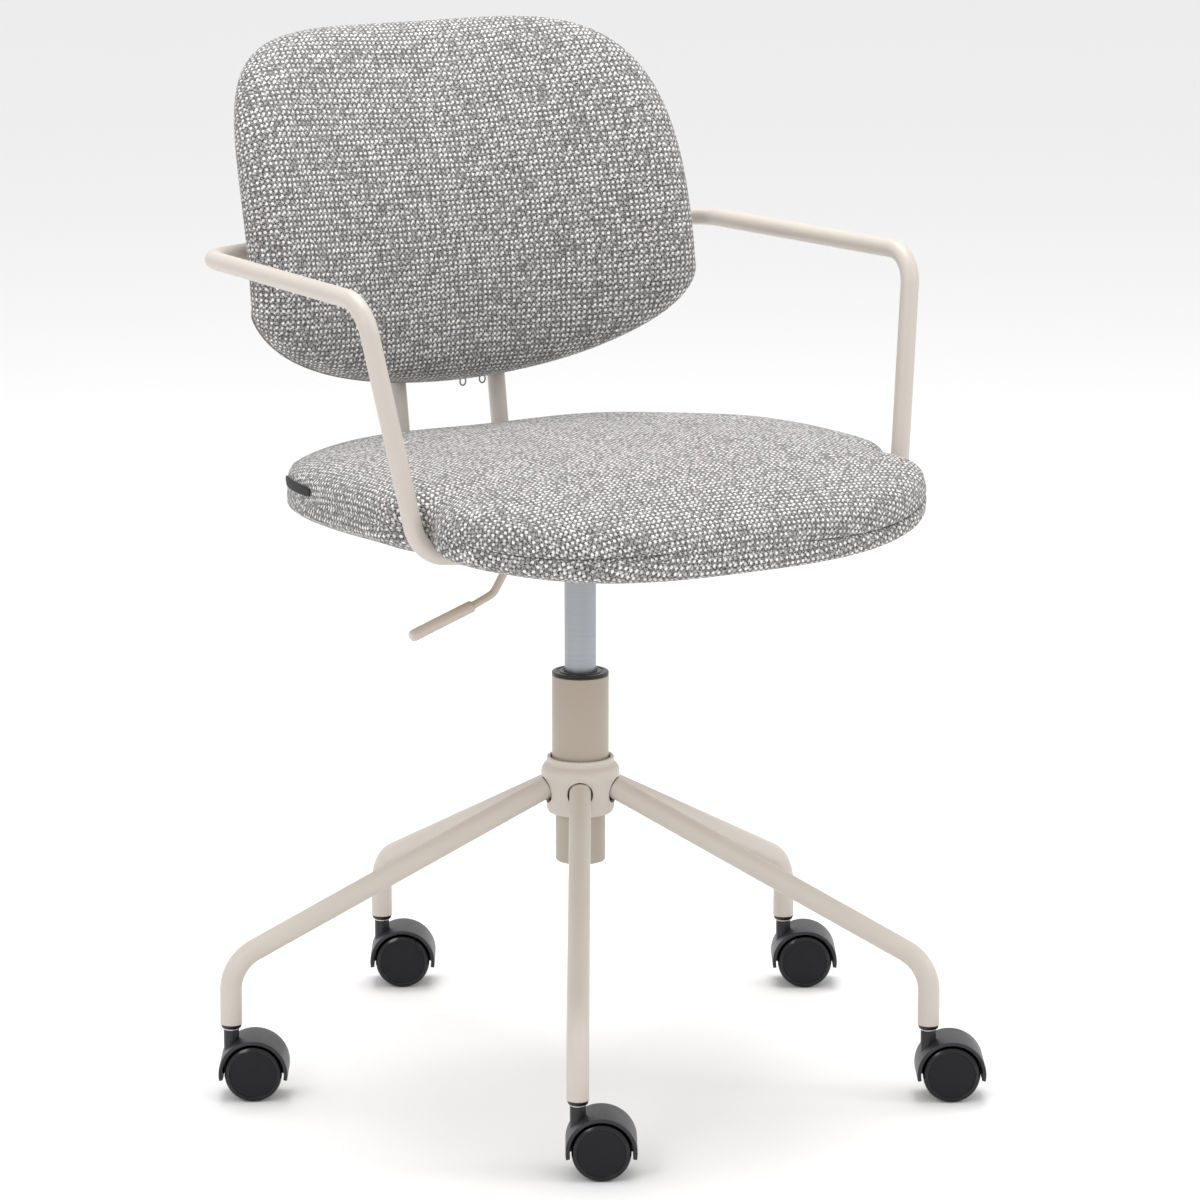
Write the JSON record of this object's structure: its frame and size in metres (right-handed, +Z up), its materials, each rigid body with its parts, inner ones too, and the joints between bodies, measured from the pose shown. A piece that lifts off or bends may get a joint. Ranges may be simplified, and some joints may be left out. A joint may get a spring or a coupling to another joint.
{
  "type": "swivel office chair",
  "caption": "Swivel office chair with tube-leg base on casters, gas lift, under-seat lever, tube arm loops and padded fabric seat and curved back.",
  "frame": {"origin": "on the floor under the middle of the chair's bounding box, 16 mm from the column axis", "axes": "+Z up out of the floor, -Y towards the front edge of the seat, +X to the side opposite the height lever"},
  "size_m": [0.679, 0.6597, 0.9005],
  "materials": {
    "frame_paint": "fine satin powder coat, warm greige",
    "column_paint": "satin powder coat, slightly darker greige",
    "steel": "zinc plated",
    "lift_tube": "satin grey",
    "black_plastic": "finely textured",
    "caster_plastic": "semi-gloss moulded",
    "upholstery": "coarse boucle weave, light and dark grey",
    "plywood": "moulded birch plywood",
    "label": "plain black woven label, no lettering",
    "zip": "dark nickel"
  },
  "bodies": {
    "base": {"hub_core": "steel", "hub_cover": "frame_paint", "column_tube": "column_paint", "guide_bush": "black_plastic", "leg_front": "frame_paint", "caster_socket_front": "black_plastic", "leg_right_front": "frame_paint", "caster_socket_right_front": "black_plastic", "leg_right_rear": "frame_paint", "caster_socket_right_rear": "black_plastic", "leg_rear": "frame_paint", "caster_socket_rear": "black_plastic", "leg_left": "frame_paint", "caster_socket_left": "black_plastic"},
    "caster_front": {"caster_stem_front": "steel", "caster_hood_front": "black_plastic", "caster_axle_front": "steel"},
    "wheel_front_a": {"wheel_front_a": "caster_plastic"},
    "wheel_front_b": {"wheel_front_b": "caster_plastic"},
    "caster_right_front": {"caster_stem_right_front": "steel", "caster_hood_right_front": "black_plastic", "caster_axle_right_front": "steel"},
    "wheel_right_front_a": {"wheel_right_front_a": "caster_plastic"},
    "wheel_right_front_b": {"wheel_right_front_b": "caster_plastic"},
    "caster_right_rear": {"caster_stem_right_rear": "steel", "caster_hood_right_rear": "black_plastic", "caster_axle_right_rear": "steel"},
    "wheel_right_rear_a": {"wheel_right_rear_a": "caster_plastic"},
    "wheel_right_rear_b": {"wheel_right_rear_b": "caster_plastic"},
    "caster_rear": {"caster_stem_rear": "steel", "caster_hood_rear": "black_plastic", "caster_axle_rear": "steel"},
    "wheel_rear_a": {"wheel_rear_a": "caster_plastic"},
    "wheel_rear_b": {"wheel_rear_b": "caster_plastic"},
    "caster_left": {"caster_stem_left": "steel", "caster_hood_left": "black_plastic", "caster_axle_left": "steel"},
    "wheel_left_a": {"wheel_left_a": "caster_plastic"},
    "wheel_left_b": {"wheel_left_b": "caster_plastic"},
    "lift_rod": {"piston_rod": "steel", "retaining_clip": "steel"},
    "seat": {"gas_cylinder": "lift_tube", "seat_plate": "steel", "mechanism_housing": "frame_paint", "lever_pin": "steel", "arm_frame": "frame_paint", "upright_left": "frame_paint", "upright_right": "frame_paint", "back_bracket": "frame_paint", "seat_board": "plywood", "seat_cushion": "upholstery", "seat_tag": "label", "back_board": "plywood", "back_cushion": "upholstery", "zip_chain": "zip"},
    "lever": {"lever_rod": "frame_paint", "lever_grip": "frame_paint"},
    "release_pin": {"release_pin": "black_plastic"},
    "zip_pull_a": {"zip_pull_a": "zip"},
    "zip_pull_b": {"zip_pull_b": "zip"}
  },
  "joints": [
    {"name": "caster_swivel_front", "type": "hinge", "parent": "base", "child": "caster_front", "pos_m": [-0.17568, -0.28499, 0.06], "axis": [0, 0, 1], "continuous": true},
    {"name": "wheel_spin_front_a", "type": "hinge", "parent": "caster_front", "child": "wheel_front_a", "pos_m": [-0.15895, -0.29501, 0.025], "axis": [0.5137, 0.8579, 0], "continuous": true},
    {"name": "wheel_spin_front_b", "type": "hinge", "parent": "caster_front", "child": "wheel_front_b", "pos_m": [-0.15895, -0.29501, 0.025], "axis": [0.5137, 0.8579, 0], "continuous": true},
    {"name": "caster_swivel_right_front", "type": "hinge", "parent": "base", "child": "caster_right_front", "pos_m": [0.19817, -0.25557, 0.06], "axis": [0, 0, 1], "continuous": true},
    {"name": "wheel_spin_right_front_a", "type": "hinge", "parent": "caster_right_front", "child": "wheel_right_front_a", "pos_m": [0.2149, -0.26559, 0.025], "axis": [0.5137, 0.8579, 0], "continuous": true},
    {"name": "wheel_spin_right_front_b", "type": "hinge", "parent": "caster_right_front", "child": "wheel_right_front_b", "pos_m": [0.2149, -0.26559, 0.025], "axis": [0.5137, 0.8579, 0], "continuous": true},
    {"name": "caster_swivel_right_rear", "type": "hinge", "parent": "base", "child": "caster_right_rear", "pos_m": [0.28572, 0.10908, 0.06], "axis": [0, 0, 1], "continuous": true},
    {"name": "wheel_spin_right_rear_a", "type": "hinge", "parent": "caster_right_rear", "child": "wheel_right_rear_a", "pos_m": [0.30245, 0.09906, 0.025], "axis": [0.5137, 0.8579, 0], "continuous": true},
    {"name": "wheel_spin_right_rear_b", "type": "hinge", "parent": "caster_right_rear", "child": "wheel_right_rear_b", "pos_m": [0.30245, 0.09906, 0.025], "axis": [0.5137, 0.8579, 0], "continuous": true},
    {"name": "caster_swivel_rear", "type": "hinge", "parent": "base", "child": "caster_rear", "pos_m": [-0.03403, 0.30502, 0.06], "axis": [0, 0, 1], "continuous": true},
    {"name": "wheel_spin_rear_a", "type": "hinge", "parent": "caster_rear", "child": "wheel_rear_a", "pos_m": [-0.0173, 0.295, 0.025], "axis": [0.5137, 0.8579, 0], "continuous": true},
    {"name": "wheel_spin_rear_b", "type": "hinge", "parent": "caster_rear", "child": "wheel_rear_b", "pos_m": [-0.0173, 0.295, 0.025], "axis": [0.5137, 0.8579, 0], "continuous": true},
    {"name": "caster_swivel_left", "type": "hinge", "parent": "base", "child": "caster_left", "pos_m": [-0.31919, 0.06147, 0.06], "axis": [0, 0, 1], "continuous": true},
    {"name": "wheel_spin_left_a", "type": "hinge", "parent": "caster_left", "child": "wheel_left_a", "pos_m": [-0.30246, 0.05145, 0.025], "axis": [0.5137, 0.8579, 0], "continuous": true},
    {"name": "wheel_spin_left_b", "type": "hinge", "parent": "caster_left", "child": "wheel_left_b", "pos_m": [-0.30246, 0.05145, 0.025], "axis": [0.5137, 0.8579, 0], "continuous": true},
    {"name": "seat_swivel", "type": "hinge", "parent": "base", "child": "lift_rod", "pos_m": [-0.009, -0.013, 0.19], "axis": [0, 0, 1], "continuous": true},
    {"name": "seat_height", "type": "slide", "parent": "lift_rod", "child": "seat", "axis": [0, 0, 1], "range_m": [-0.075, 0.005]},
    {"name": "lever_lift", "type": "hinge", "parent": "seat", "child": "lever", "pos_m": [-0.039, -0.013, 0.4715], "axis": [0, 1, 0], "range_deg": [0, 8], "stiffness_Nm_per_rad": 1, "springref_deg": -8.59},
    {"name": "release_travel", "type": "slide", "parent": "seat", "child": "release_pin", "axis": [0, 0, -1], "range_m": [0, 0.0045]},
    {"name": "zip_pull_swing_a", "type": "hinge", "parent": "seat", "child": "zip_pull_a", "pos_m": [0.00252, 0.21141, 0.58606], "axis": [1, 0, 0], "range_deg": [-40, 40]},
    {"name": "zip_pull_swing_b", "type": "hinge", "parent": "seat", "child": "zip_pull_b", "pos_m": [0.02243, 0.21076, 0.58684], "axis": [1, 0, 0], "range_deg": [-40, 40]}
  ],
  "couplings": [
    {"joint": "release_travel", "follows": "lever_lift", "m_per_rad": 0.03}
  ]
}
